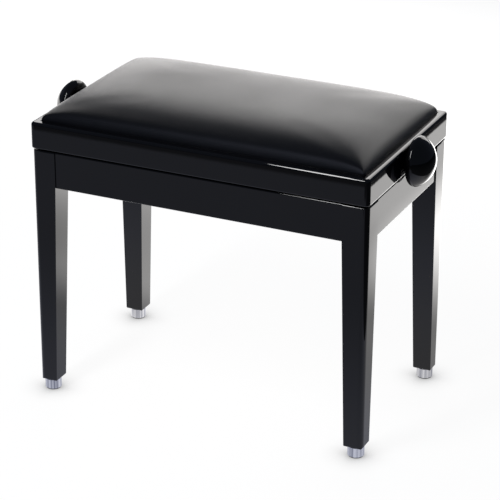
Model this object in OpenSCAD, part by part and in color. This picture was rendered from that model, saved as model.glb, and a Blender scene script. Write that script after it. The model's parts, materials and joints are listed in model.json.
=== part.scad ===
// Height-adjustable piano bench: four tapered legs and four aprons carry a slotted scissor lift,
// and a screw spindle with a knob at each end raises the upholstered seat frame.
// Millimetres, +Z up. The origin is on the floor under the middle of the bench, the front faces -Y,
// and the bench is drawn with its seat wound fully down.

/* [Seat frame] */
// Width of the seat frame, left to right
seat_w = 560; // [540:5:600]
// Depth of the seat frame, front to back
seat_d = 325; // [315:5:360]
// Height of the seat frame's underside above the floor, wound down
seat_z = 414.5; // [400:0.5:440]
// Height of the seat rails
rail_h = 42; // [42:1:50]
// Thickness of the seat rails
rail_t = 20; // [20:1:24]
// Width of the rim that shows round the cushion
rim_w = 12.5; // [10:0.5:14]
// Radius of the seat frame's upright corners
frame_corner_r = 7; // [5:0.5:9]
// Radius of the seat frame's top edge
frame_top_r = 4.5; // [2:0.5:4.5]
// Radius of the seat frame's bottom edge
frame_bottom_r = 2.5; // [1:0.5:4]
// Radius of the rim's edge beside the cushion
rim_inner_r = 0.8; // [0.4:0.1:1]

/* [Cushion] */
// Thickness of the plywood seat board
board_t = 8; // [6:1:8]
// Height of the cushion's crown above the seat board
cushion_h = 34; // [28:1:50]
// Gap between the cushion and the rim
cushion_gap = 0.8; // [0.5:0.1:2]

/* [Base] */
// Height of the aprons
apron_h = 59; // [56:1:70]
// Thickness of the aprons
apron_t = 17; // [16:0.5:18]
// Gap between the base and the seat frame, wound down
base_gap = 2.5; // [1:0.5:4]
// How far the seat frame stands out past the legs
overhang = 1.2; // [0:0.1:2]
// How far the aprons sit back from the legs
apron_setback = 1.8; // [1:0.1:3]

/* [Legs and feet] */
// Side of the square leg at its top
leg_top = 40; // [38:1:44]
// Side of the square leg at its foot
leg_foot = 30; // [28:1:34]
// Radius of the leg's outer upright corner
leg_corner_r = 9; // [4:0.5:10]
// Diameter of the aluminium foot
foot_d = 26; // [22:1:28]
// Height of the foot with its pad
foot_h = 18; // [12:1:25]

/* [Scissor lift] */
// How far the seat rises
travel = 100; // [60:5:100]
// Length of a scissor arm between its end pivots
arm_len = 400; // [380:5:400]
// Height of the upper pivots above the lower pivots, wound down
pivot_rise = 35; // [33:0.5:36]
// Width of a scissor arm
arm_w = 20; // [18:0.5:20]
// Diameter of the rollers
roller_d = 16; // [14:0.5:16]

/* [Spindle and knobs] */
// Diameter of the spindle
spindle_d = 16; // [14:0.5:16]
// Distance that the nut travels in one turn of the spindle
thread_lead = 3; // [2:0.5:4]
// Diameter of the knobs
knob_d = 78; // [60:1:80]
// Depth of the knob's domed face
knob_dome = 27; // [16:1:30]

/* [Hidden] */
$fn = 64;
eps = 0.02;

// Seat frame
ledge_z = seat_z + rail_h - board_t - 1.5;    // rebate that the seat board lies on
board_gap = 0.5;
board_x = seat_w / 2 - rim_w - board_gap;
board_y = seat_d / 2 - rim_w - board_gap;
block_leg = 34;                     // side of the glued block in each seat frame corner
bush_d = 22;
bush_flange_d = 30;
bush_flange_t = 1.5;
bush_inner_end = 0.5;               // how far the bushes stand out inside the side rails

// Base
base_top = seat_z - base_gap;
apron_z = base_top - apron_h;
leg_x = seat_w / 2 - overhang;      // outer faces of the legs
leg_y = seat_d / 2 - overhang;
inner_y = leg_y - apron_setback - apron_t;   // inner faces of the front and rear aprons
inner_x = leg_x - apron_setback - apron_t;
edge_r = 2;                         // rounding of the aprons' and legs' outer edges
leg_foot_r = 3;                     // rounding round the bottom of the legs
foot_x = leg_x - leg_foot / 2;
foot_y = leg_y - leg_foot / 2;
pad_t = 2;
pad_recess = 0.5;
stud_d = 8;
stud_h = 12;
insert_d = 12;
insert_h = 14;
dowel_d = 8;
dowel_len = 30;
bolt_d = 8;
bolt_in_leg = 18;
bolt_z = apron_z + 13;
base_block_h = 20;
base_block_leg = 40;

// Lift
plate_t = 4;                        // thickness of the rails' webs and of the arms
lane = 1;                           // side play between neighbouring arms
flange_t = 3;
flange_w = 20;
rail_plate_h = 30;
spindle_z = ledge_z - rail_plate_h / 2;     // axis of the spindle and of the upper pivots
rail_end = 22;                      // rail beyond its end pivots
pivot_x = -arm_len / 2;             // fixed pivots, both on the left
lower_z = spindle_z - pivot_rise;
arm_angle = asin(pivot_rise / arm_len);
slide_x = pivot_x + arm_len * cos(arm_angle);               // moving pivots, wound down
raised_angle = asin((pivot_rise + travel) / arm_len);
slide_x_raised = pivot_x + arm_len * cos(raised_angle);     // moving pivots, wound up
pivot_d = 12;
run_fit = 0.1;                      // diametral clearance of a running fit
slack = 1.2;                        // diametral clearance of the lift's loose pivots
journal_d = 10;
roller_t = 3.6;
web_y = inner_y - plate_t;          // inner face of the rails' webs
arm_a_y = web_y - lane - plate_t;   // inner face of the outer arms
arm_b_y = arm_a_y - lane - plate_t; // inner face of the inner arms
shaft_end = inner_y - 0.3;
nut_block = [30, 30, 26];
nut_bar_w = 16;
side_play = 0.1;
pin_head_t = 2;
rail_screw_x = 140;
rail_screw_d = 4;
rail_screw_len = 18;
board_screw_x = 90;

// Spindle and knobs
knob_r = knob_d / 2;
knob_wide = 13;                     // widest plane of the knob, out from the seat frame
neck_d = 30;
knob_start = 2;                     // gap from the seat frame to the knob's neck
spindle_end_d = 10;
spindle_tip = knob_wide + 8;
collar_d = 28;
collar_w = 10;
collar_x = seat_w / 2 - rail_t - bush_inner_end - 0.3 - collar_w;
grub_d = 5;
knob_grub_x = 9;
thread_margin = 16;

SIDES = ["left", "right"];
ENDS = ["front", "rear"];
CORNERS = [[-1, -1, "front_left"], [1, -1, "front_right"], [-1, 1, "rear_left"], [1, 1, "rear_right"]];

lacquer = [0.06, 0.06, 0.07];
raw_wood = [0.76, 0.62, 0.44];
zinc = [0.72, 0.73, 0.76];
dark_steel = [0.25, 0.26, 0.28];

// ---- helpers ----

// Cylinder along +X from x to x + len
module rod_x(x, len, d) {
    translate([x, 0, 0]) rotate([0, 90, 0]) cylinder(h = len, d = d);
}

// Cylinder along +Y from y to y + len
module rod_y(y, len, d) {
    translate([0, y, 0]) rotate([-90, 0, 0]) cylinder(h = len, d = d);
}

module quarter_disc(r) {
    intersection() {
        circle(r = r);
        square(r);
    }
}

// Plain rectangle with one pair of outer edges rounded: the outer face is at x = 0
module edged_section(depth, height, bottom_r, top_r) {
    translate([-depth, bottom_r]) square([depth, height - bottom_r - top_r]);
    translate([-depth, 0]) square([depth - bottom_r, bottom_r]);
    translate([-depth, height - top_r]) square([depth - top_r, top_r]);
    translate([-bottom_r, bottom_r]) mirror([0, 1]) quarter_disc(bottom_r);
    translate([-top_r, height - top_r]) quarter_disc(top_r);
}

// Straight bar of a section along X, with its outer face towards -Y at y = -face
module bar_front(section_len, face) {
    translate([-section_len / 2, -face, 0]) rotate([90, 0, 90]) linear_extrude(section_len) mirror([1, 0]) children();
}

// Countersunk screw: its head's flat face is at z = 0 and its shank runs along -Z
module flat_screw(d, len) {
    rotate([180, 0, 0]) {
        cylinder(h = d / 2, r1 = d, r2 = d / 2);
        cylinder(h = len, d = d);
    }
}

// The front's shape, mirrored where the part is at the rear
module at_end(end) {
    mirror([0, end == "rear" ? 1 : 0, 0]) children();
}

// The right-hand shape, mirrored where the part is on the left
module at_side(side) {
    mirror([side == "left" ? 1 : 0, 0, 0]) children();
}

// The rear right corner's shape, mirrored into another corner
module at_corner(corner) {
    mirror([corner[0] < 0 ? 1 : 0, 0, 0]) mirror([0, corner[1] < 0 ? 1 : 0, 0]) children();
}

module all_corners() {
    for (corner = CORNERS) at_corner(corner) children();
}

module both_ends() {
    for (end = ENDS) at_end(end) children();
}

module both_sides() {
    for (side = SIDES) at_side(side) children();
}

// ---- base ----

// Side profile of a leg: the outer face is upright, and the inner face tapers below the apron
module leg_profile(outer) {
    polygon([
        [outer, foot_h + leg_foot_r], [outer, base_top - edge_r], [outer - edge_r, base_top],
        [outer - leg_top, base_top], [outer - leg_top, apron_z], [outer - leg_foot, foot_h + leg_foot_r],
        [outer - leg_foot + leg_foot_r, foot_h], [outer - leg_foot_r, foot_h]
    ]);
    for (x = [outer - leg_foot_r, outer - leg_foot + leg_foot_r])
        translate([x, foot_h + leg_foot_r]) circle(r = leg_foot_r);
    translate([outer - edge_r, base_top - edge_r]) circle(r = edge_r);
}

// Plan of a leg, square but for its rounded outer corner
module leg_plan() {
    translate([leg_x - leg_top, leg_y - leg_top]) {
        square([leg_top - leg_corner_r, leg_top]);
        square([leg_top, leg_top - leg_corner_r]);
        translate([leg_top - leg_corner_r, leg_top - leg_corner_r]) circle(r = leg_corner_r);
    }
}

// Dowels that join the aprons to the rear right leg
module leg_dowels() {
    for (z = [apron_z + 28, base_top - 13]) {
        translate([0, inner_y + apron_t / 2, z]) rod_x(leg_x - leg_top - dowel_len / 2, dowel_len, dowel_d);
        translate([inner_x + apron_t / 2, 0, z]) rod_y(leg_y - leg_top - dowel_len / 2, dowel_len, dowel_d);
    }
}

// Moves to the inner corner of the rear right leg, with +X pointing into the leg along its diagonal
module at_leg_bolt() {
    translate([leg_x - leg_top, leg_y - leg_top, bolt_z]) rotate([0, 0, 45]) children();
}

module leg(corner) {
    color(lacquer) at_corner(corner) difference() {
        intersection() {
            translate([0, 0, foot_h - 1]) linear_extrude(base_top - foot_h + 2) leg_plan();
            translate([0, seat_d, 0]) rotate([90, 0, 0]) linear_extrude(seat_d) leg_profile(leg_x);
            rotate([90, 0, 90]) linear_extrude(seat_w) leg_profile(leg_y);
        }
        leg_dowels();
        at_leg_bolt() rod_x(-1, bolt_in_leg + 1, bolt_d);
        translate([foot_x, foot_y, foot_h - 1]) cylinder(h = insert_h + 1, d = insert_d);
    }
}

// Apron on the front, with square ends
module apron_bar(len, face) {
    bar_front(len, face) translate([0, apron_z]) edged_section(apron_t, apron_h, edge_r, edge_r);
}

module apron_long(end) {
    color(lacquer) at_end(end) difference() {
        apron_bar(2 * (leg_x - leg_top), leg_y - apron_setback);
        both_sides() at_end("rear") leg_dowels();
        web_screws(lower_z);
    }
}

module apron_short(side) {
    color(lacquer) at_side(side) difference() {
        rotate([0, 0, 90]) apron_bar(2 * (leg_y - leg_top), leg_x - apron_setback);
        both_ends() leg_dowels();
    }
}

module apron_dowels() {
    color(raw_wood) all_corners() leg_dowels();
}

// Block that fits behind a leg and bridges two aprons
module corner_block(corner) {
    color(raw_wood) at_corner(corner) difference() {
        translate([0, 0, bolt_z - base_block_h / 2]) linear_extrude(base_block_h) polygon([
            [leg_x - leg_top - base_block_leg, inner_y], [leg_x - leg_top, inner_y],
            [leg_x - leg_top, leg_y - leg_top], [inner_x, leg_y - leg_top],
            [inner_x, leg_y - leg_top - base_block_leg]
        ]);
        at_leg_bolt() rod_x(-2 * base_block_leg, 3 * base_block_leg, bolt_d);
    }
}

// Bolt that draws one leg into its corner, with its washer and nut on the block's long face
module leg_bolts() {
    block_face = (base_block_leg - (leg_top - apron_setback - apron_t)) / sqrt(2);
    color(zinc) all_corners() at_leg_bolt() {
        rod_x(-block_face - 14, block_face + 14 + bolt_in_leg, bolt_d);
        rod_x(-block_face - 1.5, 1.5, 20);
        translate([-block_face - 8, 0, 0]) rotate([0, 90, 0]) cylinder(h = 6.5, d = 15, $fn = 6);
    }
}

module foot_insert() {
    translate([foot_x, foot_y, foot_h]) difference() {
        cylinder(h = insert_h, d = insert_d);
        translate([0, 0, -1]) cylinder(h = insert_h + 2, d = stud_d);
    }
}

module foot_inserts() {
    color("goldenrod") all_corners() foot_insert();
}

// Turned aluminium foot with its threaded stud
module foot(corner) {
    chamfer = 0.8;
    color([0.82, 0.83, 0.86]) at_corner(corner) translate([foot_x, foot_y, 0]) rotate_extrude() polygon([
        [0, pad_t - pad_recess], [foot_d / 2 - chamfer, pad_t - pad_recess], [foot_d / 2, pad_t - pad_recess + chamfer],
        [foot_d / 2, foot_h - chamfer], [foot_d / 2 - chamfer, foot_h], [stud_d / 2, foot_h],
        [stud_d / 2, foot_h + stud_h], [0, foot_h + stud_h]
    ]);
}

module foot_pads() {
    color([0.1, 0.1, 0.1]) all_corners() translate([foot_x, foot_y, 0])
        cylinder(h = pad_t - pad_recess, d = foot_d - 3);
}

// ---- lift rails ----

// Screws through the web of a front rail, from the inside
module web_screws(z) {
    for (x = [-rail_screw_x, 0, rail_screw_x])
        translate([x, -web_y, z]) rotate([-90, 0, 0]) flat_screw(rail_screw_d, rail_screw_len);
}

// Screws through the flange of the front upper rail, up into the seat board
module flange_screws() {
    for (x = [-board_screw_x, 0, board_screw_x])
        translate([x, -web_y + flange_w / 2, ledge_z - flange_t]) rotate([180, 0, 0])
            flat_screw(rail_screw_d, flange_t + board_t - 2);
}

// Angle rail on the front, with the fixed pivot's hole on the left and the rollers' slot on the right.
// flange_side is 1 with the flange at the top and -1 with the flange at the bottom.
module angle_rail(z, flange_side) {
    left = pivot_x - rail_end;
    length = slide_x + rail_end - left;
    slot_d = roller_d + slack;
    translate([0, 0, z]) difference() {
        union() {
            translate([left, -inner_y, -rail_plate_h / 2]) cube([length, plate_t, rail_plate_h]);
            translate([left, -inner_y, flange_side * (rail_plate_h - flange_t) / 2 - flange_t / 2])
                cube([length, plate_t + flange_w, flange_t]);
        }
        translate([pivot_x, 0, 0]) rod_y(-inner_y - 1, plate_t + 2, pivot_d + run_fit);
        for (x = [slide_x_raised, slide_x]) translate([x, 0, 0]) rod_y(-inner_y - 1, plate_t + 2, slot_d);
        translate([slide_x_raised, -inner_y - 1, -slot_d / 2]) cube([slide_x - slide_x_raised, plate_t + 2, slot_d]);
    }
}

module lower_rail(end) {
    color(zinc) at_end(end) difference() {
        angle_rail(lower_z, -1);
        web_screws(lower_z);
    }
}

module lower_rail_screws() {
    color(dark_steel) both_ends() web_screws(lower_z);
}

module upper_rail(end) {
    color(zinc) at_end(end) difference() {
        angle_rail(spindle_z, 1);
        web_screws(spindle_z);
        flange_screws();
    }
}

module upper_rail_screws() {
    color(dark_steel) both_ends() web_screws(spindle_z);
}

module board_screws() {
    color(dark_steel) both_ends() flange_screws();
}

// ---- seat ----

// Section of a seat rail: rounded outside, rebated for the seat board, and rounded beside the cushion
module seat_section(depth) {
    difference() {
        edged_section(depth, rail_h, frame_bottom_r, frame_top_r);
        translate([-rail_t - 1, ledge_z - seat_z]) square([rail_t + 1 - rim_w, rail_h]);
        translate([-rim_w, rail_h]) mirror([0, 1]) difference() {
            translate([-eps, -eps]) square(rim_inner_r + eps);
            translate([rim_inner_r, rim_inner_r]) circle(r = rim_inner_r);
        }
    }
}

// Mitred rail along the front of a frame: len is the frame's outer length, and face is how far out it lies
module mitred_rail(len, face) {
    straight = len - 2 * frame_corner_r;
    intersection() {
        bar_front(straight, face) seat_section(rail_t);
        translate([0, 0, -1]) linear_extrude(rail_h + 2)
            polygon([[-len / 2, -face], [len / 2, -face], [len / 2 - 2 * rail_t, 2 * rail_t - face],
                [2 * rail_t - len / 2, 2 * rail_t - face]]);
    }
    for (m = [0, 1]) mirror([m, 0, 0]) translate([straight / 2, frame_corner_r - face, 0]) intersection() {
        rotate_extrude() translate([frame_corner_r, 0]) seat_section(frame_corner_r);
        translate([0, 0, -1]) linear_extrude(rail_h + 2)
            polygon([[0, 0], [0, -2 * frame_corner_r], [2 * frame_corner_r, -2 * frame_corner_r]]);
    }
}

module seat_rail_long(end) {
    color(lacquer) at_end(end) difference() {
        translate([0, 0, seat_z]) mitred_rail(seat_w, seat_d / 2);
        web_screws(spindle_z);
    }
}

module seat_rail_short(side) {
    color(lacquer) at_side(side) difference() {
        translate([0, 0, seat_z]) rotate([0, 0, 90]) mitred_rail(seat_d, seat_w / 2);
        translate([0, 0, spindle_z]) rod_x(seat_w / 2 - rail_t - 1, rail_t + 2, bush_d);
    }
}

module seat_corner_blocks() {
    x = seat_w / 2 - rail_t;
    y = seat_d / 2 - rail_t;
    color(raw_wood) all_corners() translate([0, 0, seat_z + 4]) linear_extrude(ledge_z - seat_z - 4)
        polygon([[x, y], [x - block_leg, y], [x, y - block_leg]]);
}

module seat_board() {
    color(raw_wood) difference() {
        translate([-board_x, -board_y, ledge_z]) cube([2 * board_x, 2 * board_y, board_t]);
        both_ends() flange_screws();
    }
}

// Crowned cushion: level outlines that draw in as they rise
module cushion() {
    half = [board_x + board_gap - cushion_gap, board_y + board_gap - cushion_gap];
    edge_h = 10;
    crown_run = 80;
    corner_r = 12;
    steps = 7;
    color([0.05, 0.05, 0.055]) translate([0, 0, ledge_z + board_t]) hull() {
        for (x = [-1, 1], y = [-1, 1])
            translate([x * (half[0] - corner_r), y * (half[1] - corner_r), 0]) cylinder(h = edge_h, r = corner_r, $fn = 32);
        for (i = [1 : steps]) {
            inset = crown_run * (1 - cos(90 * i / steps));
            z = edge_h + (cushion_h - edge_h) * pow(sin(90 * i / steps), 0.8);
            for (x = [-1, 1], y = [-1, 1])
                translate([x * (half[0] - corner_r - inset), y * (half[1] - corner_r - inset), z - 1])
                    cylinder(h = 1, r = corner_r, $fn = 32);
        }
    }
}

module bush(side) {
    bore = spindle_d + run_fit;
    sleeve = rail_t + bush_inner_end;
    color("goldenrod") at_side(side) translate([0, 0, spindle_z]) difference() {
        union() {
            rod_x(seat_w / 2 - sleeve, sleeve, bush_d);
            rod_x(seat_w / 2, bush_flange_t, bush_flange_d);
        }
        rod_x(seat_w / 2 - sleeve - 1, sleeve + bush_flange_t + 2, bore);
    }
}

// ---- scissor ----

// Flat bar with round ends, from its left pivot, tilted up by rise degrees
module arm_bar(y, z, rise) {
    translate([pivot_x, y, z]) rotate([0, -rise, 0]) difference() {
        union() {
            translate([0, 0, -arm_w / 2]) cube([arm_len, plate_t, arm_w]);
            rod_y(0, plate_t, arm_w);
            translate([arm_len, 0, 0]) rod_y(0, plate_t, arm_w);
        }
        children();
    }
}

// Hole along an arm, at a distance from its left pivot
module arm_hole(x, d) {
    translate([x, 0, 0]) rod_y(-1, plate_t + 2, d);
}

// Outer arm: low on the left, turning about the base's pivot
module outer_arm(end) {
    color(zinc) at_end(end) arm_bar(-arm_a_y - plate_t, lower_z, arm_angle) {
        arm_hole(0, pivot_d);
        arm_hole(arm_len / 2, journal_d);
        arm_hole(arm_len, pivot_d + run_fit);
    }
}

// Inner arm: high on the left, turning about the seat's pivot
module inner_arm(end) {
    color(dark_steel) at_end(end) arm_bar(-arm_b_y - plate_t, spindle_z, -arm_angle) {
        arm_hole(0, pivot_d);
        arm_hole(arm_len / 2, journal_d + slack);
        arm_hole(arm_len, journal_d);
    }
}

module lower_cross_shaft() {
    color(dark_steel) translate([pivot_x, 0, lower_z]) rod_y(-shaft_end, 2 * shaft_end, pivot_d);
}

module pivot_washers() {
    color(zinc) both_ends() translate([pivot_x, 0, lower_z]) difference() {
        rod_y(-web_y + side_play, lane - 2 * side_play, 20);
        rod_y(-web_y - 1, lane + 2, pivot_d);
    }
}

// Pins through the crossing of the arms, with their heads inside
module centre_pins() {
    x = pivot_x + arm_len / 2 * cos(arm_angle);
    z = lower_z + arm_len / 2 * sin(arm_angle);
    head_y = arm_b_y - 2 * side_play;
    color(dark_steel) both_ends() translate([x, 0, z]) {
        rod_y(-arm_a_y - plate_t, arm_a_y + plate_t - head_y, journal_d);
        rod_y(-head_y, pin_head_t, 16);
    }
}

module upper_pivot_pins() {
    shoulder_y = web_y - side_play;
    arm_face = arm_b_y + plate_t;
    color(dark_steel) both_ends() translate([pivot_x, 0, spindle_z]) {
        rod_y(-shaft_end, shaft_end - arm_b_y, pivot_d);
        rod_y(-shoulder_y, shoulder_y - arm_face, 18);
    }
}

module roller_shaft() {
    color(dark_steel) translate([slide_x, 0, lower_z]) rod_y(-shaft_end, 2 * shaft_end, journal_d);
}

module roller_spacers() {
    arm_face = arm_b_y + plate_t;
    color(zinc) both_ends() translate([slide_x, 0, lower_z]) difference() {
        rod_y(-web_y + side_play, web_y - side_play - arm_face, roller_d - 2);
        rod_y(-web_y - 1, web_y - arm_face + 2, journal_d);
    }
}

module roller(end, z) {
    y = -web_y - (plate_t + roller_t) / 2;
    color([0.85, 0.85, 0.8]) at_end(end) translate([slide_x, 0, z]) difference() {
        rod_y(y, roller_t, roller_d);
        rod_y(y - 1, roller_t + 2, journal_d + run_fit);
    }
}

// Cross bar that the spindle draws along: its middle is the nut, and its ends carry the outer arms
module nut_bar() {
    bar_y = arm_a_y - 2 * side_play;
    color(dark_steel) translate([slide_x, 0, spindle_z]) difference() {
        union() {
            cube(nut_block, center = true);
            translate([-nut_bar_w / 2, -bar_y, -nut_bar_w / 2]) cube([nut_bar_w, 2 * bar_y, nut_bar_w]);
            rod_y(-web_y, 2 * web_y, pivot_d);
            rod_y(-shaft_end, 2 * shaft_end, journal_d);
        }
        rod_x(-nut_block[0], 2 * nut_block[0], spindle_d + slack);
    }
}

// ---- spindle and knobs ----

module spindle() {
    shoulder = seat_w / 2 + knob_start;
    first = slide_x_raised - thread_margin;
    turns = floor((slide_x - slide_x_raised + 2 * thread_margin) / thread_lead);
    depth = thread_lead * 0.4;
    color(zinc) translate([0, 0, spindle_z]) difference() {
        union() {
            rod_x(-shoulder, 2 * shoulder, spindle_d);
            rod_x(-seat_w / 2 - spindle_tip, seat_w + 2 * spindle_tip, spindle_end_d);
        }
        for (i = [0 : turns - 1]) translate([first + i * thread_lead, 0, 0]) rotate([0, 90, 0]) rotate_extrude()
            polygon([
                [spindle_d / 2 - depth, -depth / 4], [spindle_d / 2 + eps, -depth / 2 - eps],
                [spindle_d / 2 + eps, depth / 2 + eps], [spindle_d / 2 - depth, depth / 4]
            ]);
    }
}

module collar(side) {
    color(zinc) at_side(side) translate([0, 0, spindle_z]) difference() {
        rod_x(collar_x, collar_w, collar_d);
        rod_x(collar_x - 1, collar_w + 2, spindle_d);
        translate([collar_x + collar_w / 2, 0, 0]) cylinder(h = collar_d, d = grub_d);
    }
}

module collar_screws() {
    color(dark_steel) both_sides() translate([collar_x + collar_w / 2, 0, spindle_z + spindle_d / 2])
        cylinder(h = collar_d / 2 - spindle_d / 2 - 1, d = grub_d);
}

// Half section of a knob: x is the radius, and y runs outward from the seat frame's side
module knob_section() {
    lip = 9;
    rim_r = knob_r - lip;
    dome_c = (pow(knob_dome - lip, 2) - pow(rim_r, 2)) / (2 * (knob_dome - lip));
    dome_r = knob_dome - dome_c;
    dome_a = atan2(rim_r, -dome_c);
    back = knob_wide - lip;
    flare = back - knob_start;
    difference() {
        union() {
            translate([rim_r, knob_wide]) circle(r = lip);
            translate([0, knob_start]) square([rim_r, knob_wide - knob_start]);
            intersection() {
                translate([0, knob_wide + dome_c]) circle(r = dome_r, $fn = 180);
                translate([0, knob_wide + dome_c])
                    polygon([
                        [0, -dome_c], [rim_r, -dome_c],
                        [2 * dome_r * sin(dome_a), 2 * dome_r * cos(dome_a)], [0, 2 * dome_r]
                    ]);
            }
        }
        translate([neck_d / 2 + flare, knob_start]) circle(r = flare);
        translate([neck_d / 2 + flare, knob_start - 1]) square([knob_r, flare + 1]);
        translate([-knob_r, -knob_r]) square([knob_r, 3 * knob_r]);
    }
}

module knob(side) {
    color([0.03, 0.03, 0.035]) at_side(side) translate([seat_w / 2, 0, spindle_z]) difference() {
        rotate([0, 90, 0]) rotate_extrude() knob_section();
        rod_x(knob_start - 1, spindle_tip - knob_start + 1, spindle_end_d);
        translate([knob_grub_x, 0, -knob_r]) cylinder(h = knob_r, d = grub_d);
    }
}

module knob_screws() {
    color(dark_steel) both_sides() translate([seat_w / 2 + knob_grub_x, 0, spindle_z - neck_d / 2 + 1])
        cylinder(h = neck_d / 2 - spindle_end_d / 2 - 1, d = grub_d);
}

// ---- assembly ----

for (corner = CORNERS) {
    leg(corner);
    corner_block(corner);
    foot(corner);
}
for (end = ENDS) {
    apron_long(end);
    lower_rail(end);
    upper_rail(end);
    seat_rail_long(end);
    outer_arm(end);
    inner_arm(end);
    roller(end, lower_z);
    roller(end, spindle_z);
}
for (side = SIDES) {
    apron_short(side);
    seat_rail_short(side);
    bush(side);
    collar(side);
    knob(side);
}
apron_dowels();
leg_bolts();
foot_inserts();
foot_pads();
lower_rail_screws();
upper_rail_screws();
board_screws();
seat_corner_blocks();
seat_board();
cushion();
lower_cross_shaft();
centre_pins();
pivot_washers();
upper_pivot_pins();
roller_shaft();
roller_spacers();
nut_bar();
spindle();
collar_screws();
knob_screws();
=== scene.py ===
"""The looks of a height-adjustable piano bench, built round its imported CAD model."""

import json
import math

import bmesh
import bpy
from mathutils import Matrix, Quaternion, Vector


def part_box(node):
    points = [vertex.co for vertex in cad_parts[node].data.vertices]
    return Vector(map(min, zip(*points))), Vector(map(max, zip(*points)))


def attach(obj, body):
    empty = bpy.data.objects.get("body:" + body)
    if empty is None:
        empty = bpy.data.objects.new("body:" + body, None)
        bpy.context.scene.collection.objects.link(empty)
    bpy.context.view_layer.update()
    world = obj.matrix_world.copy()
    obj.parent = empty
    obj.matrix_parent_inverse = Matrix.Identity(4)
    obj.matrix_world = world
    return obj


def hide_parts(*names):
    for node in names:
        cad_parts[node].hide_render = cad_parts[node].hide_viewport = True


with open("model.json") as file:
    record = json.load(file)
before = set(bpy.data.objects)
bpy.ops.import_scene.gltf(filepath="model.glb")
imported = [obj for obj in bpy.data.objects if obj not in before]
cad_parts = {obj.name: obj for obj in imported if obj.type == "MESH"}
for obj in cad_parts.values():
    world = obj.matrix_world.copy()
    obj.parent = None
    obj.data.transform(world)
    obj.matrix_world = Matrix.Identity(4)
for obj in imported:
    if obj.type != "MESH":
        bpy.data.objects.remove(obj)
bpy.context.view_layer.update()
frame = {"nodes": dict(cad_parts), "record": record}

NODES = frame["nodes"]
MM = 0.001


# ---- materials ----

class Paint:
    """A node material round one Principled shader, laid out in the object's own coordinates."""

    def __init__(self, name, **sockets):
        self.material = bpy.data.materials.new(name)
        self.material.use_nodes = True
        self.tree = self.material.node_tree
        self.shader = self.tree.nodes["Principled BSDF"]
        self.place = self.tree.nodes.new("ShaderNodeTexCoord").outputs["Object"]
        self.set(self.shader, sockets)

    def set(self, node, inputs):
        """Sets or links a node's inputs, which are named with _ for a space."""
        for name, value in inputs.items():
            socket = node.inputs[name.replace("_", " ")]
            if isinstance(value, bpy.types.NodeSocket):
                self.tree.links.new(value, socket)
            else:
                socket.default_value = value

    def node(self, kind, settings=None, **inputs):
        """A new node, with its settings and its inputs set or linked."""
        made = self.tree.nodes.new("ShaderNode" + kind)
        for key, value in (settings or {}).items():
            setattr(made, key, value)
        self.set(made, inputs)
        return made

    def noise(self, per_metre, detail=2.0, stretch=(1, 1, 1), distortion=0.0):
        place = self.node("Mapping", Vector=self.place, Scale=stretch).outputs["Vector"]
        made = self.node("TexNoise", Vector=place, Scale=per_metre, Detail=detail, Distortion=distortion)
        return made.outputs["Fac"]

    def cells(self, per_metre, feature="F1"):
        """Distance to the middle of a cell, or with DISTANCE_TO_EDGE to its edge."""
        made = self.node("TexVoronoi", {"feature": feature}, Vector=self.place, Scale=per_metre)
        return made.outputs["Distance"]

    def spread(self, value, low, high, start=0.3, end=0.7):
        """start to end of value brought to low to high, and cut off there."""
        made = self.node("MapRange", Value=value, From_Min=start, From_Max=end, To_Min=low, To_Max=high)
        return made.outputs["Result"]

    def sum(self, first, second, share):
        """first plus share times second."""
        made = self.node("Math", {"operation": "MULTIPLY_ADD"})
        self.tree.links.new(second, made.inputs[0])
        made.inputs[1].default_value = share
        self.tree.links.new(first, made.inputs[2])
        return made.outputs[0]

    def blend(self, factor, first, second):
        """A colour between two others, which are colours or colour sockets."""
        made = self.node("Mix", {"data_type": "RGBA"}, Factor=factor)
        for socket, value in zip([s for s in made.inputs if s.type == "RGBA"], (first, second)):
            if isinstance(value, bpy.types.NodeSocket):
                self.tree.links.new(value, socket)
            else:
                socket.default_value = (*value, 1)
        return [s for s in made.outputs if s.type == "RGBA"][0]

    def finish(self, colour, roughness, height, depth):
        """Links what varies to the shader. depth is how deep the relief is, in metres."""
        bump = self.node("Bump", Height=height, Distance=depth)
        relief = bump.outputs["Normal"]
        self.set(self.shader, {"Base_Color": colour, "Roughness": roughness, "Normal": relief})
        return self.material


def black_lacquer():
    """Polished black polyester lacquer: nearly a mirror, with a trace of orange peel and dust."""
    p = Paint("black_lacquer", IOR=1.5)
    cloud = p.noise(7, detail=3)
    dust = p.spread(p.noise(900, detail=1), 0, 1, start=0.68, end=0.8)
    haze = p.spread(cloud, 0.008, 0.020)
    colour = p.blend(cloud, (0.0022, 0.0022, 0.0034), (0.0042, 0.0042, 0.0056))
    return p.finish(colour, p.sum(haze, dust, 0.12), p.noise(130, detail=1), 0.000002)


def leather():
    """Smooth black leather with a fine grain of cells, and a faint cloud of wear on its sheen."""
    p = Paint("leather", IOR=1.46)
    cloud = p.noise(9, detail=4)
    grain = p.cells(780, "DISTANCE_TO_EDGE")
    pores = p.noise(2600, detail=2)
    relief = p.sum(p.spread(grain, 0, 1, start=0.0, end=0.28), pores, 0.35)
    colour = p.blend(cloud, (0.0060, 0.0060, 0.0078), (0.0105, 0.0102, 0.0115))
    roughness = p.sum(p.spread(cloud, 0.31, 0.37), grain, 0.10)
    return p.finish(colour, roughness, relief, 0.000035)


def knob_plastic():
    """Polished black moulded plastic, with the odd hairline from cleaning."""
    p = Paint("knob_plastic", IOR=1.5)
    cloud = p.noise(24, detail=2)
    streak = p.noise(60, detail=1, stretch=(1, 1, 22), distortion=1.5)
    hairline = p.spread(streak, 0, 1, start=0.62, end=0.66)
    colour = p.blend(cloud, (0.0024, 0.0024, 0.0030), (0.0046, 0.0046, 0.0050))
    roughness = p.sum(p.spread(cloud, 0.05, 0.09), hairline, 0.05)
    return p.finish(colour, roughness, p.noise(90, detail=1), 0.00002)


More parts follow.
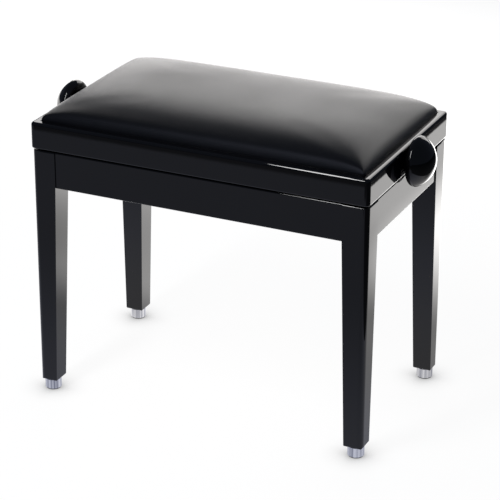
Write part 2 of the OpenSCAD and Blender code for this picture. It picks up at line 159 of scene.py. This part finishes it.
def brushed_aluminium():
    """Bright aluminium brushed up and down, with painted reflection in upright stripes of its colour."""
    p = Paint("foot_aluminium", Metallic=1.0, IOR=1.45)
    brushing_and_painted_stripes = p.noise(260, detail=3, stretch=(1, 1, 0.02))
    cloud = p.noise(60, detail=2)
    # Painted reflection: dark and bright upright stripes in the colour, in place of what the foot mirrors.
    painted_reflection = p.spread(brushing_and_painted_stripes, 0, 1, start=0.38, end=0.62)
    colour = p.blend(painted_reflection, (0.34, 0.35, 0.40), (0.98, 0.98, 0.99))
    return p.finish(colour, p.spread(cloud, 0.16, 0.26), brushing_and_painted_stripes, 0.00006)


def foot_pad():
    """Dark felt-like rubber."""
    p = Paint("foot_pad", IOR=1.5)
    fluff = p.noise(1500, detail=3)
    colour = p.blend(fluff, (0.010, 0.010, 0.011), (0.035, 0.034, 0.033))
    return p.finish(colour, p.spread(fluff, 0.75, 0.95), fluff, 0.0002)


def zinc_steel():
    """Bright zinc plating, with the patchy blue and straw tints of its passivation."""
    p = Paint("zinc_steel", Metallic=1.0)
    patch = p.noise(38, detail=3, distortion=0.8)
    grain = p.noise(700, detail=2, stretch=(0.15, 1, 1))
    tint = p.blend(p.spread(patch, 0, 1), (0.50, 0.53, 0.58), (0.60, 0.57, 0.49))
    colour = p.blend(p.spread(grain, 0, 0.35), tint, (0.68, 0.69, 0.71))
    return p.finish(colour, p.spread(patch, 0.28, 0.42), grain, 0.00004)


def dark_steel():
    """Blackened steel with a trace of oil, rubbed lighter in places."""
    p = Paint("dark_steel", Metallic=0.9)
    patch = p.noise(55, detail=4)
    grain = p.noise(900, detail=2)
    colour = p.blend(p.spread(patch, 0, 1, 0.45, 0.75), (0.035, 0.036, 0.040), (0.11, 0.11, 0.115))
    return p.finish(colour, p.spread(patch, 0.34, 0.52), grain, 0.00004)


def brass():
    """Dark brown brass, lighter and darker in patches."""
    p = Paint("brass", Metallic=1.0)
    patch = p.noise(80, detail=3)
    rings = p.noise(900, detail=1)
    colour = p.blend(patch, (0.17, 0.12, 0.06), (0.27, 0.19, 0.10))
    return p.finish(colour, p.spread(patch, 0.22, 0.38), rings, 0.00003)


def roller_nylon():
    """Natural nylon, slightly see-through and yellowed in patches."""
    p = Paint("roller_nylon", IOR=1.53, Subsurface_Weight=0.1)
    patch = p.noise(110, detail=2)
    colour = p.blend(patch, (0.62, 0.60, 0.53), (0.76, 0.74, 0.67))
    return p.finish(colour, p.spread(patch, 0.42, 0.55), p.noise(800), 0.00003)


def bare_wood():
    """Beech: long grain along the bench, short dark flecks and a slow change of tone."""
    p = Paint("bare_wood", IOR=1.5)
    grain = p.noise(60, detail=5, stretch=(0.06, 1, 1), distortion=0.6)
    fleck = p.spread(p.noise(420, detail=1, stretch=(0.09, 1, 1)), 0, 1, 0.60, 0.68)
    tone = p.noise(5, detail=2)
    light = p.blend(p.spread(grain, 0, 1), (0.50, 0.33, 0.18), (0.66, 0.47, 0.28))
    body = p.blend(p.spread(tone, 0, 0.4), light, (0.42, 0.26, 0.13))
    colour = p.blend(p.spread(fleck, 0, 0.6, 0, 1), body, (0.24, 0.13, 0.06))
    return p.finish(colour, p.spread(grain, 0.50, 0.66), p.sum(grain, fleck, -0.4), 0.0002)


MATERIALS = {
    "black_lacquer": black_lacquer, "bare_wood": bare_wood, "leather": leather, "zinc_steel": zinc_steel,
    "dark_steel": dark_steel, "brass": brass, "foot_aluminium": brushed_aluminium, "foot_pad": foot_pad,
    "knob_plastic": knob_plastic, "roller_nylon": roller_nylon,
}


def paint_nodes(paints):
    """Gives each CAD node the material of its slot in the record."""
    for part in frame["record"]["subparts"]:
        data = NODES[part["node"]].data
        data.materials.clear()
        data.materials.append(paints[part["material_slot"]])


# ---- softened edges ----

EDGE_WIDTHS = {
    "leg_": 0.7 * MM, "apron_": 0.5 * MM, "corner_block_": 0.8 * MM, "seat_corner_blocks": 0.8 * MM,
    "lower_rail_": 0.3 * MM, "upper_rail_": 0.3 * MM, "outer_arm_": 0.4 * MM, "inner_arm_": 0.4 * MM,
    "nut_bar": 0.5 * MM, "collar_": 0.4 * MM, "bush_": 0.3 * MM, "roller_": 0.3 * MM, "foot_pads": 0.3 * MM,
}
NOT_SOFTENED = (
    "apron_dowels", "leg_bolts", "lower_rail_screws", "upper_rail_screws", "collar_screws", "roller_shaft",
)
SHARP_ANGLE = math.radians(38)


def soften_edges():
    """Rounds the sharp edges of the CAD nodes with modifiers, so that they catch the light."""
    for name, node in NODES.items():
        width = next((w for start, w in EDGE_WIDTHS.items() if name.startswith(start)), None)
        if width is None or name in NOT_SOFTENED:
            continue
        node.modifiers.new("weld", "WELD").merge_threshold = 0.01 * MM
        bevel = node.modifiers.new("edges", "BEVEL")
        bevel.width = width
        bevel.segments = 2
        bevel.limit_method = "ANGLE"
        bevel.angle_limit = SHARP_ANGLE
        bevel.use_clamp_overlap = True
        node.modifiers.new("shading", "WEIGHTED_NORMAL").weight = 50


# ---- cushion ----

PAD_CORNER = 4 * MM             # radius of the cushion's corners, seen from above
PAD_SPREAD = 0.7 * MM           # how far the leather bulges past its CAD solid, up to the rim
PAD_WRAP = 6 * MM               # how far the leather reaches down round the seat board
PAD_EDGE = 5 * MM               # height of the upright edge above the seat board
PAD_CROWN = 32.5 * MM           # how far the crown rises above that edge
END_FLATNESS = 5.2              # the higher, the further the crown stays flat towards its ends
FRONT_FLATNESS = 2.92           # the same towards its front
REAR_FLATNESS = 4.2             # the same towards its rear
END_FALL = 0.80                 # the lower, the more upright the crown's ends
SIDE_FALL = 0.62                # the same for its front and rear
LEAST = 1e-6                    # keeps the crown's share above nought at its edge
PAD_COLUMNS, PAD_ROWS, PAD_SIDE_STEPS = 110, 64, 4
TIGHTEN_LIMIT = 0.6 * MM        # the furthest that the simulation may move the leather
TIGHTEN_FRAMES = 20


def crown(across, along):
    """Share of the crown's height at a place on the cushion, from -1 to 1 along each side."""
    end = max(LEAST, 1 - abs(along) ** END_FLATNESS) ** END_FALL
    flatness = REAR_FLATNESS if across > 0 else FRONT_FLATNESS
    side = max(LEAST, 1 - abs(across) ** flatness) ** SIDE_FALL
    return 2 / (1 / end + 1 / side)


def crowded(share):
    """From -1 to 1 as share goes from 0 to 1, in smaller steps towards both ends."""
    turn = 2 * share - 1
    return (turn + math.sin(math.pi / 2 * turn)) / 2


def rounded(x, y, half_x, half_y, radius):
    """The point, pulled inside the round corner if it lies in one."""
    out_x, out_y = abs(x) - (half_x - radius), abs(y) - (half_y - radius)
    if out_x > 0 and out_y > 0:
        shrink = min(1, radius / math.hypot(out_x, out_y))
        x = math.copysign(half_x - radius + out_x * shrink, x)
        y = math.copysign(half_y - radius + out_y * shrink, y)
    return x, y


def pad_mesh():
    """Closed solid of the cushion: flat below, upright edge, crowned top."""
    low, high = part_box("cushion")
    half_x, half_y = high.x + PAD_SPREAD, high.y + PAD_SPREAD
    floor, brim = low.z - PAD_WRAP, low.z + PAD_EDGE
    bm = bmesh.new()

    def grid(height):
        """A sheet of points over the cushion, closer together towards its edges."""
        rows = []
        for i in range(PAD_COLUMNS + 1):
            row = []
            for j in range(PAD_ROWS + 1):
                along, across = crowded(i / PAD_COLUMNS), crowded(j / PAD_ROWS)
                x, y = rounded(along * half_x, across * half_y, half_x, half_y, PAD_CORNER)
                row.append(bm.verts.new((x, y, height(across, along))))
            rows.append(row)
        return rows

    def skin(first, second):
        """Faces between two rows of points."""
        for (a, b), (c, d) in zip(zip(first, first[1:]), zip(second, second[1:])):
            bm.faces.new((a, b, d, c))

    def rim(rows):
        """The outermost points of a grid, as a closed loop."""
        return (rows[0] + [row[-1] for row in rows[1:]] + rows[-1][-2::-1]
                + [row[0] for row in rows[-2::-1]])

    top = grid(lambda across, along: brim + PAD_CROWN * crown(across, along))
    bottom = grid(lambda across, along: floor)
    for sheet in (top, bottom):
        for first, second in zip(sheet, sheet[1:]):
            skin(first, second)
    loops = [rim(bottom)]
    for step in range(1, PAD_SIDE_STEPS):
        z = floor + (brim - floor) * step / PAD_SIDE_STEPS
        loop = [bm.verts.new((v.co.x, v.co.y, z)) for v in loops[0][:-1]]
        loops.append(loop + loop[:1])
    loops.append(rim(top))
    for first, second in zip(loops, loops[1:]):
        skin(first, second)
    bmesh.ops.recalc_face_normals(bm, faces=bm.faces)
    mesh = bpy.data.meshes.new("seat_cushion")
    bm.to_mesh(mesh)
    bm.free()
    return mesh


def apply_modifiers(piece):
    """Replaces the piece's mesh by what its modifiers make of it."""
    depsgraph = bpy.context.evaluated_depsgraph_get()
    made = bpy.data.meshes.new_from_object(piece.evaluated_get(depsgraph))
    piece.modifiers.clear()
    piece.data = made


def tighten(pad):
    """Draws the leather tight by a cloth simulation held along its upright edge, moves scaled to
    TIGHTEN_LIMIT at most.
    """
    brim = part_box("cushion")[0].z + PAD_EDGE
    held = pad.vertex_groups.new(name="held")
    held.add([v.index for v in pad.data.vertices if v.co.z < brim + 0.1 * MM], 1.0, "REPLACE")
    start = [v.co.copy() for v in pad.data.vertices]
    cloth = pad.modifiers.new("Cloth", "CLOTH")
    cloth.settings.vertex_group_mass = "held"
    cloth.settings.quality = 6
    cloth.settings.mass = 0.25
    cloth.settings.tension_stiffness = 20
    cloth.settings.compression_stiffness = 20
    cloth.settings.shear_stiffness = 10
    cloth.settings.bending_stiffness = 12
    cloth.settings.shrink_min = 0.004
    cloth.settings.use_pressure = True
    cloth.settings.uniform_pressure_force = 5
    cloth.settings.effector_weights.gravity = 0
    cloth.point_cache.frame_start = 1
    cloth.point_cache.frame_end = TIGHTEN_FRAMES
    for step in range(1, TIGHTEN_FRAMES + 1):
        bpy.context.scene.frame_set(step)
    apply_modifiers(pad)
    moves = [v.co - before for v, before in zip(pad.data.vertices, start)]
    share = min(1, TIGHTEN_LIMIT / max(move.length for move in moves))
    for v, before, move in zip(pad.data.vertices, start, moves):
        v.co = before + move * share
    bpy.context.scene.frame_set(1)


def cushion():
    """The leather cushion, as one smooth skin."""
    pad = bpy.data.objects.new("seat_cushion", pad_mesh())
    bpy.context.scene.collection.objects.link(pad)
    tighten(pad)
    pad.modifiers.new("rounding", "SUBSURF").levels = 1
    apply_modifiers(pad)
    for face in pad.data.polygons:
        face.use_smooth = True
    return pad


# ---- studio ----

FLOOR_HALF = 9.0
TABLE_FRONT = -1.19             # where the floor's painted glow ends, in front of the bench
FRONT_BLUR = 0.01               # half the width over which it fades there
TABLE_RIGHT = 0.686             # where it ends to the right of the bench
RIGHT_BLUR = 0.002
PAINTED_SHADE_REACH = 0.05              # how far the painted soft shade reaches round a foot
WARM = (1, 0.975, 0.955)
COOL = (0.95, 0.97, 1)
BLUE = (0.85, 0.9, 1.15)


def studio_floor(material):
    """One large square at the height of the feet."""
    mesh = bpy.data.meshes.new("studio_floor")
    corners = [(-FLOOR_HALF, -FLOOR_HALF, 0), (FLOOR_HALF, -FLOOR_HALF, 0), (FLOOR_HALF, FLOOR_HALF, 0),
               (-FLOOR_HALF, FLOOR_HALF, 0)]
    mesh.from_pydata(corners, [], [(0, 1, 2, 3)])
    mesh.materials.append(material)
    floor = bpy.data.objects.new("studio_floor", mesh)
    bpy.context.scene.collection.objects.link(floor)
    return floor


def floor_material():
    """A pale floor glowing like a light table, a painted glow with no lamp, which the polished lacquer
    mirrors.

    It is brightest behind the bench on the right, and cool and dim in front of it. Seen directly it is
    plain, but for a painted soft shade, drawn by an ambient occlusion node, close round whatever stands on
    it.
    """
    p = Paint("studio_floor", Base_Color=(0.16, 0.16, 0.16, 1), Roughness=0.8, Specular_IOR_Level=0.0)
    x, y = p.node("SeparateXYZ", Vector=p.place).outputs[:2]

    def ramp(value, start, end, low, high):
        """low up to start, high from end on, and a smooth change between them."""
        made = p.node("MapRange", {"interpolation_type": "SMOOTHSTEP"}, Value=value,
                      From_Min=start, From_Max=end, To_Min=low, To_Max=high)
        return made.outputs["Result"]

    def product(first, second):
        made = p.node("Math", {"operation": "MULTIPLY"})
        p.tree.links.new(first, made.inputs[0])
        p.tree.links.new(second, made.inputs[1])
        return made.outputs[0]

    # Painted light: to all but camera rays the floor glows with no lamp, for the lacquer to mirror.
    right = product(ramp(y, 0.30, 0.80, 0.7, 5.5), ramp(x, 0.48, 0.61, 1.0, 0.37))
    behind = ramp(x, -0.2, 0.3, 2.2, right)
    glow = ramp(y, 0.10, 0.28, ramp(y, -0.75, 0.10, 0.20, 0.60), behind)
    glow = product(glow, ramp(y, TABLE_FRONT - FRONT_BLUR, TABLE_FRONT + FRONT_BLUR, 0.0, 1.0))
    glow = product(glow, ramp(x, TABLE_RIGHT - RIGHT_BLUR, TABLE_RIGHT + RIGHT_BLUR, 1.0, 0.0))
    tint = p.blend(ramp(y, -0.4, 0.3, 0.0, 1.0), (0.88, 0.93, 1.16), (1.0, 0.985, 0.97))
    studio = p.node("Emission", Color=tint, Strength=glow)
    # Painted shade: seen directly, the floor dims round what stands on it by ambient occlusion, not lamps.
    painted_shade_mask = p.node("AmbientOcclusion", Distance=PAINTED_SHADE_REACH).outputs["AO"]
    plain = p.node("Emission", Color=(1, 1, 1, 1), Strength=ramp(painted_shade_mask, 0.4, 1.0, 0.45, 0.93))
    seen = p.node("MixShader", Fac=p.node("LightPath").outputs["Is Camera Ray"])
    p.tree.links.new(studio.outputs[0], seen.inputs[1])
    p.tree.links.new(plain.outputs[0], seen.inputs[2])
    both = p.node("AddShader")
    p.tree.links.new(p.shader.outputs[0], both.inputs[0])
    p.tree.links.new(seen.outputs[0], both.inputs[1])
    p.tree.links.new(both.outputs[0], p.tree.nodes["Material Output"].inputs["Surface"])
    return p.material


def softbox(name, centre, tilt, width, length, radiance, colour=(1, 1, 1)):
    """A rectangular lamp. Untilted it faces down, with its width along X.

    tilt turns it about X, then about Z, in degrees.
    """
    data = bpy.data.lights.new(name, "AREA")
    data.shape = "RECTANGLE"
    data.size = width
    data.size_y = length
    data.energy = radiance * math.pi * width * length
    data.color = colour
    lamp = bpy.data.objects.new(name, data)
    lamp.location = centre
    lamp.rotation_euler = (math.radians(tilt[0]), 0, math.radians(tilt[1]))
    lamp.visible_camera = False
    bpy.context.scene.collection.objects.link(lamp)
    return lamp


def studio_world():
    """Dim cool walls all round, which a camera sees as a plain pale backdrop."""
    world = bpy.data.worlds.new("studio")
    world.use_nodes = True
    tree = world.node_tree
    walls = tree.nodes["Background"]
    walls.inputs["Color"].default_value = (0.62, 0.74, 1.0, 1)
    walls.inputs["Strength"].default_value = 0.10
    backdrop = tree.nodes.new("ShaderNodeBackground")
    backdrop.inputs["Color"].default_value = (0.95, 0.95, 0.95, 1)
    mix = tree.nodes.new("ShaderNodeMixShader")
    tree.links.new(tree.nodes.new("ShaderNodeLightPath").outputs["Is Camera Ray"], mix.inputs["Fac"])
    tree.links.new(walls.outputs[0], mix.inputs[1])
    tree.links.new(backdrop.outputs[0], mix.inputs[2])
    tree.links.new(mix.outputs[0], tree.nodes["World Output"].inputs["Surface"])
    bpy.context.scene.world = world


def link_only(lamp, piece, state):
    """Lets the lamp light only this piece, or everything but this piece."""
    linked = bpy.data.collections.new(lamp.name + "_linking")
    linked.objects.link(piece)
    lamp.light_linking.receiver_collection = linked
    linked.collection_objects[0].light_linking.link_state = state


def studio_lamps(pad):
    """Two wall panels, a strip for the light line on the seat frame, and fills for the cushion alone."""
    softbox("wall_panel", (-1.05, 2.2, 1.02), (-90, 0), 1.5, 1.35, 2.85, WARM)
    softbox("wall_panel_right", (0.25, 2.2, 1.25), (-90, 0), 1.1, 1.2, 2.6, WARM)
    side = softbox("side_fill", (1.9, 0.3, 1.9), (0, 0), 1.2, 1.2, 0.8, COOL)
    link_only(side, pad, "INCLUDE")
    strip = softbox("strip", (-0.428, -1.25, 1.65), (25, 0), 0.20, 1.1, 18.0)
    link_only(strip, pad, "EXCLUDE")
    front = softbox("front_fill", (0.1, -2.2, 2.0), (45, 0), 2.6, 2.2, 0.55, BLUE)
    link_only(front, pad, "INCLUDE")
    left = softbox("left_fill", (-2.3, 1.3, 1.9), (-90, 90), 1.8, 2.8, 1.5, WARM)
    link_only(left, pad, "INCLUDE")


# ---- camera ----

VIEW_AZIMUTH = math.radians(25.05)
VIEW_ELEVATION = math.radians(23.66)
VIEW_DISTANCE = 3.365
VIEW_TARGET = Vector((0.0168, 0, 0.2352))
VIEW_ROLL = math.radians(0.2)
LENS_MM = 153.6


def add_camera():
    """A long lens from the front right, a little above the cushion."""
    level = math.cos(VIEW_ELEVATION)
    right, ahead, up = math.sin(VIEW_AZIMUTH), math.cos(VIEW_AZIMUTH), math.sin(VIEW_ELEVATION)
    back = Vector((right * level, -ahead * level, up))
    data = bpy.data.cameras.new("camera")
    data.lens = LENS_MM
    data.clip_end = 50
    camera = bpy.data.objects.new("camera", data)
    camera.location = VIEW_TARGET + back * VIEW_DISTANCE
    turned = (-back).to_track_quat("-Z", "Y") @ Quaternion((0, 0, 1), VIEW_ROLL)
    camera.rotation_euler = turned.to_euler()
    bpy.context.scene.collection.objects.link(camera)
    bpy.context.scene.camera = camera


# ---- assembly ----

paints = {slot: make() for slot, make in MATERIALS.items()}
paint_nodes(paints)
soften_edges()

pad = cushion()
pad.data.materials.append(paints["leather"])
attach(pad, "seat")
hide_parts("cushion")

studio_floor(floor_material())
studio_world()
studio_lamps(pad)
add_camera()
bpy.context.scene.view_settings.view_transform = "Standard"
